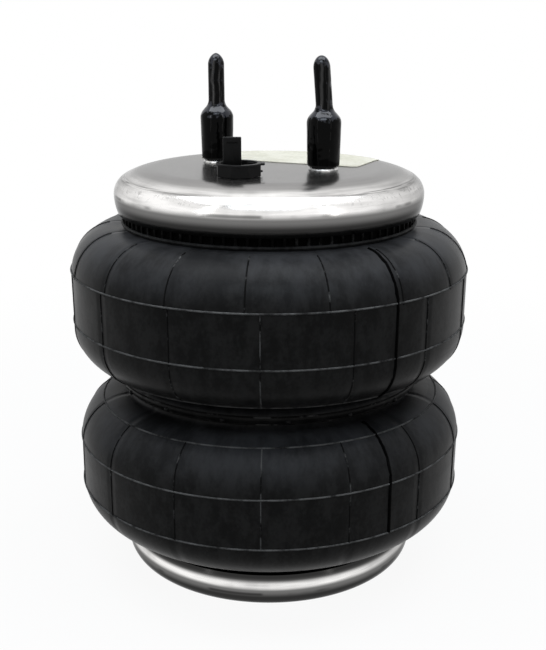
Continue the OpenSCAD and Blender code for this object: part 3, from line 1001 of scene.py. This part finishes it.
# %% Lock collars
collar_low, collar_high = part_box("stud_collar_right")
collar_h = collar_high.z - top_z
collar_r = (collar_high.x - collar_low.x) / 2
collar_bore = stud_r + 0.05 * MM
collar_slope = 0.35 * MM
collar_inset = 0.65 * MM
collar_edge = collar_r - collar_inset
collar_section = closed([
    (collar_bore, top_z), (collar_edge, top_z), (collar_edge, top_z + fine_edge),
    (collar_edge - collar_slope, top_z + collar_h), (collar_bore + 0.1 * MM, top_z + collar_h),
    (collar_bore, top_z + collar_h - 0.1 * MM),
])
for side, name in SIDES:
    collar = lathe(f"lock_collar_{name}", collar_section, CAP_STEPS, (side * stud_x, 0))
    dress(collar, ZINC, "stud_steel", "upper_plate", f"stud_collar_{name}")

# %% Air inlet bushing
bushing_r = (inlet_high.x - inlet_low.x) / 2
bore_r = 5.7 * MM
bore_thread = -0.4 * MM
mouth = 0.6 * MM
bushing_section = closed([
    (bore_r, inlet_low.z + mouth), (bore_r + mouth, inlet_low.z), (bushing_r - mouth, inlet_low.z),
    (bushing_r, inlet_low.z + mouth), (bushing_r, top_z - sheet), (spigot_r, top_z - sheet),
    (spigot_r, top_z - fine_edge), (spigot_r - fine_edge, top_z), (bore_r + chamfer, top_z), (bore_r, top_z - chamfer),
])
bushing = lathe("inlet_bushing_body", bushing_section, CAP_STEPS, inlet)
inlet_pitch = 1.41 * MM
bushing_thread = thread("inlet_ridge", bore_r - 0.12 * MM, bore_thread, inlet_pitch, inlet_low.z + 1 * MM,
                        top_z - 0.6 * MM, inlet)
dress(unify("threaded_inlet", bushing, bushing_thread), ZINC, "stud_steel", "upper_plate", "air_inlet_bushing")

# %% Blind nuts
nut_low, nut_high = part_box("blind_nut_right")
nut_flange_r = (nut_high.x - nut_low.x) / 2
nut_bore_r = 4 * MM
nut_depth = 14 * MM
nut_flange_t = 2.2 * MM
nut_section = [
    (0, nut_depth), (nut_bore_r, nut_depth), (nut_bore_r, mouth), (nut_bore_r + mouth, 0), (nut_r - fine_edge, 0),
    (nut_r, fine_edge), (nut_r, sheet), (nut_flange_r, sheet), (nut_flange_r, sheet + nut_flange_t),
    (nut_r, sheet + nut_flange_t), (nut_r, nut_high.z - chamfer), (nut_r - chamfer, nut_high.z), (0, nut_high.z),
]
for side, name in SIDES:
    axis = (side * stud_x, 0)
    shell = lathe(f"nut_shell_{name}", nut_section, STUD_STEPS, axis)
    ridge = thread(f"nut_ridge_{name}", nut_bore_r - 0.15 * MM, bore_thread, stud_pitch, 0.8 * MM, nut_depth, axis)
    dress(unify(f"threaded_nut_{name}", shell, ridge), ZINC, "stud_steel", "lower_plate", f"blind_nut_{name}")

# %% [markdown]
# ## Stud caps
#
# The caps are dipped in liquid vinyl, so they have one even wall, a bottle's shoulder, a blunt point where the last
# drop set and no sharp edge at all. Both come from one section, each with its own tip. Dipped caps are never quite
# straight, so the right cap's neck is then leaned over a little.

# %% Sizes of a cap
cap_low, cap_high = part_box("stud_cap_right")
cap_r = (cap_high.x - cap_low.x) / 2
cap_foot = cap_low.z
cap_wall = 1.05 * MM
cap_neck_r = 3 * MM
cap_neck_h = 12.3 * MM
cap_shoulder_r = 4 * MM
cap_slope = 42
cap_tip_r = 1.7 * MM
cap_tip_h = 2.5 * MM
cap_foot_r = 1.2 * MM
cap_taper = 0.2 * MM
cap_bulge = 0.1 * MM
slope = math.radians(cap_slope)
slope_w = cap_r - cap_neck_r - 2 * cap_shoulder_r * (1 - math.cos(slope))
cap_shoulder_h = 2 * cap_shoulder_r * math.sin(slope) + slope_w / math.tan(slope)
cap_tip_z = cap_high.z - cap_tip_r - cap_tip_h
cap_neck_z = cap_tip_z - cap_neck_h
cap_body_z = cap_neck_z - cap_shoulder_h
tip_steps = 14
cap_points = {"left": 1.2, "right": 1.0}


# %% Dip the caps
def cap_skin(inset):
    """Skin of a cap from its body to its neck, inset from the outside."""
    low = arc(cap_r + cap_bulge - cap_shoulder_r, cap_body_z, cap_shoulder_r - inset, 0, cap_slope, 10)
    high = arc(cap_neck_r + cap_shoulder_r, cap_neck_z, cap_shoulder_r + inset, 180 + cap_slope, 180, 10)
    return low + high


def cap_section(point):
    """Section of a cap, whose tip is round for a point of 1 and sharper above it."""
    foot_x = cap_r - cap_taper
    foot = arc(foot_x - cap_foot_r, cap_foot + cap_foot_r, cap_foot_r, -60, 0, 6)
    inner_foot = [(foot_x - cap_wall, cap_foot + 0.4 * MM), (foot_x - cap_wall + 0.2 * MM, cap_foot + 0.15 * MM)]
    tip_h = cap_high.z - cap_tip_z
    turns = [math.radians(90 * i / tip_steps) for i in range(1, tip_steps)]
    tip = [(cap_neck_r * math.cos(t) ** point, cap_tip_z + tip_h * math.sin(t)) for t in turns] + [(0, cap_high.z)]
    hollow_end = arc(0, cap_tip_z, cap_neck_r - cap_wall, 0, 90, 8)
    return inner_foot + foot + cap_skin(0) + tip + (cap_skin(cap_wall) + hollow_end)[::-1] + inner_foot[:1]


def select_above(piece, z):
    """Select the vertices over a height, in edit mode."""
    mesh = bmesh.from_edit_mesh(piece.data)
    for vert in mesh.verts:
        vert.select = vert.co.z > z
    mesh.select_flush(True)
    mesh.select_flush(False)
    bmesh.update_edit_mesh(piece.data)


cap_lean = {"left": (0.0, 0.0), "right": (math.radians(-4.4), math.radians(-2.4))}
bends = (cap_neck_z - 1 * MM, cap_neck_z + 1.5 * MM)
for side, name in SIDES:
    cap = lathe(f"vinyl_cap_{name}", cap_section(cap_points[name]), CAP_STEPS, (side * stud_x, 0))
    bpy.ops.object.mode_set(mode="EDIT")
    lean_x, lean_y = cap_lean[name]
    for bend_z in bends:
        select_above(cap, bend_z)
        pivot = (side * stud_x, 0, bend_z)
        bpy.ops.transform.rotate(value=-lean_x / len(bends), orient_axis="Y", center_override=pivot)
        bpy.ops.transform.rotate(value=lean_y / len(bends), orient_axis="X", center_override=pivot)
    tidy_mesh(60)
    dress(cap, VINYL, "cap_vinyl", f"cap_{name}", f"stud_cap_{name}")

# %% [markdown]
# ## Inlet plug
#
# The plug is one small moulding: a stem in the bore, a cup with eight flats, a thin round flange with a side tab, and
# an upright pull tab with a short groove near its top. The turned parts are spun, and the tabs are boxes with
# bevelled edges.

# %% Turn the plug's stem, cup and flange
plug_r = 7.7 * MM
plug_h = 4.6 * MM
plug_wall = 1.3 * MM
plug_flange_w = 0.35 * MM
plug_flange_t = 0.8 * MM
plug_fit = 0.3 * MM
plug_turn = math.radians(29)
plug_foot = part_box("inlet_plug")[0].z
stem_r = bore_r - plug_fit
rim_z = top_z + plug_h
flange_r = plug_r + plug_flange_w
flange_section = closed(
    arc(flange_r - plug_flange_t / 2, rim_z - plug_flange_t / 2, plug_flange_t / 2, -90, 90, 8)
    + arc(plug_r - plug_wall + 0.25 * MM, rim_z - 0.25 * MM, 0.25 * MM, 90, 180, 4)
    + [(plug_r - plug_wall, rim_z - plug_flange_t)]
)
stem_section = closed([
    (stem_r, top_z + plug_fit + 0.4 * MM), (stem_r, plug_foot + 0.5 * MM), (stem_r - 0.4 * MM, plug_foot),
    (stem_r - plug_wall, plug_foot), (stem_r - plug_wall, top_z + plug_fit + 0.4 * MM),
])
flange = lathe("plug_flange", flange_section, CAP_STEPS)
stem = lathe("plug_stem", stem_section, STUD_STEPS)

# %% Mould the eight-sided cup
cup_sides = 8
cup_turn = math.radians(27)
cup_r = 8.05 * MM
cup_foot = 0.08 * MM
plug_round = 0.35 * MM
cup_h = plug_h - cup_foot - plug_flange_t / 2
bpy.ops.mesh.primitive_cylinder_add(vertices=cup_sides, radius=1.0, depth=1.0, rotation=(0, 0, cup_turn))
bpy.ops.object.transform_apply(rotation=True)
cup = open_new("plug_cup")
bpy.ops.transform.resize(value=(cup_r, cup_r, cup_h))
bpy.ops.transform.translate(value=(0, 0, top_z + cup_foot + cup_h / 2))
mesh = bmesh.from_edit_mesh(cup.data)
for face in mesh.faces:
    face.select = face.normal.z > 0.9
bmesh.update_edit_mesh(cup.data)
bpy.ops.mesh.inset(thickness=plug_wall)
bpy.ops.mesh.extrude_region_move(TRANSFORM_OT_translate={"value": (0, 0, plug_wall - cup_h)})
tidy_mesh()
modify(cup, "BEVEL", width=plug_round, segments=3, limit_method="ANGLE", angle_limit=math.radians(30))

# %% Shape the two tabs and put the plug together
tab_w = 6.3 * MM
tab_t = 1.8 * MM
tab_h = 8.6 * MM
tab_shift = 2.2 * MM
side_tab_l = 1 * MM
side_tab_w = 4.5 * MM
side_tab_inset = 0.02 * MM
tab_groove = (3.6 * MM, 0.5 * MM, 0.5 * MM)
tab_top = rim_z + tab_h
pull_tab = block("pull_tab", (-tab_shift - tab_w / 2, -tab_t / 2, top_z + plug_fit + 0.5 * MM),
                 (-tab_shift + tab_w / 2, tab_t / 2, tab_top), plug_round)
groove_z = tab_top - 1.6 * MM
cutter = block("groove", (-tab_shift - tab_groove[0] / 2, -tab_t / 2 - tab_groove[1], groove_z - tab_groove[2]),
               (-tab_shift + tab_groove[0] / 2, -tab_t / 2 + tab_groove[1], groove_z), 0)
modify(pull_tab, "BOOLEAN", object=cutter, operation="DIFFERENCE", solver="EXACT")
bpy.data.objects.remove(cutter)
side_tab = block("side_tab", (plug_r - plug_wall, -side_tab_w / 2, rim_z - plug_flange_t + side_tab_inset),
                 (flange_r + side_tab_l, side_tab_w / 2, rim_z - side_tab_inset), 0.4 * MM)
gate_low = (plug_r - 0.8 * MM, 1.6 * MM, top_z + 1 * MM)
gate_high = (plug_r + 0.6 * MM, 2.6 * MM, top_z + 1.7 * MM)
gate = block("gate_nub", gate_low, gate_high, fine_edge)
plug = unify("pull_tab_plug", cup, flange, stem, pull_tab, side_tab, gate)
open_all()
bpy.ops.transform.rotate(value=-plug_turn, orient_axis="Z", center_override=(0, 0, 0))
bpy.ops.transform.translate(value=(*inlet, 0))
bpy.ops.object.mode_set(mode="OBJECT")
bpy.ops.object.shade_smooth_by_angle(angle=math.radians(SMOOTH))
dress(plug, PLASTIC, "plug_plastic", "plug", "inlet_plug")

# %% [markdown]
# ## Blank label
#
# The label is a piece of paper stuck on the plate behind the studs, so it follows the flat face and then the dish. A
# plane gets round corners and enough cuts to bend, the Shrinkwrap modifier lays it on the steel, and Solidify gives
# it thickness.

# %% Cut and stick the label
label_r = plate_r - 11.15 * MM
label_near = 9 * MM
label_left, label_right = -34 * MM, 31 * MM
label_turn = math.radians(4)
label_corner = 2.5 * MM
label_t = 0.2 * MM
label_gap = 0.05 * MM
bend_count = 14
sharp_turn = 0.4
bpy.ops.mesh.primitive_circle_add(vertices=180, radius=label_r, fill_type="NGON")
label = open_new("paper_label")
label_edges = {(0, label_near, 0): (0, -1, 0), (label_left, 0, 0): (-1, 0, 0), (label_right, 0, 0): (1, 0, 0)}
for edge, outwards in label_edges.items():
    bpy.ops.mesh.select_all(action="SELECT")
    bpy.ops.mesh.bisect(plane_co=edge, plane_no=outwards, clear_outer=True)
mesh = bmesh.from_edit_mesh(label.data)
for vert in mesh.verts:
    vert.select = vert.calc_edge_angle(0) > sharp_turn
mesh.select_flush(False)
bmesh.update_edit_mesh(label.data)
bpy.ops.mesh.bevel(offset=label_corner, segments=6, affect="VERTICES")
for axis, low, high in ((0, label_left, label_right), (1, label_near, label_r)):
    for i in range(1, bend_count):
        cut_place = Vector((0, 0, 0))
        cut_place[axis] = low + (high - low) * i / bend_count
        bpy.ops.mesh.select_all(action="SELECT")
        bpy.ops.mesh.bisect(plane_co=cut_place, plane_no=(axis == 0, axis == 1, 0))
bpy.ops.mesh.select_all(action="SELECT")
bpy.ops.transform.rotate(value=-label_turn, orient_axis="Z", center_override=(0, 0, 0))
bpy.ops.transform.translate(value=(0, 0, top_z + 5 * MM))
bpy.ops.object.mode_set(mode="OBJECT")
modify(label, "SHRINKWRAP", target=upper_plate, wrap_method="PROJECT", use_project_x=False, use_project_z=True,
       use_negative_direction=True, use_positive_direction=False, offset=label_gap)
modify(label, "SOLIDIFY", thickness=label_t, offset=1.0)
bpy.ops.object.shade_smooth_by_angle(angle=math.radians(40))
dress(label, PAPER, "label_paper", "upper_plate", "blank_label")

# %% [markdown]
# ## Hidden CAD pieces
#
# The bead cores, their rubber fillers and the girdle hoop keep their CAD shapes, because their shapes are right and
# nothing shows them. They still get their own finish.

# %% Finish the hidden pieces
hidden = {"upper_bead_core": WIRE, "lower_bead_core": WIRE, "girdle_hoop": WIRE,
          "upper_bead_filler": BEAD_RUBBER, "lower_bead_filler": BEAD_RUBBER}
for name, finish in hidden.items():
    paint(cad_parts[name], finish)
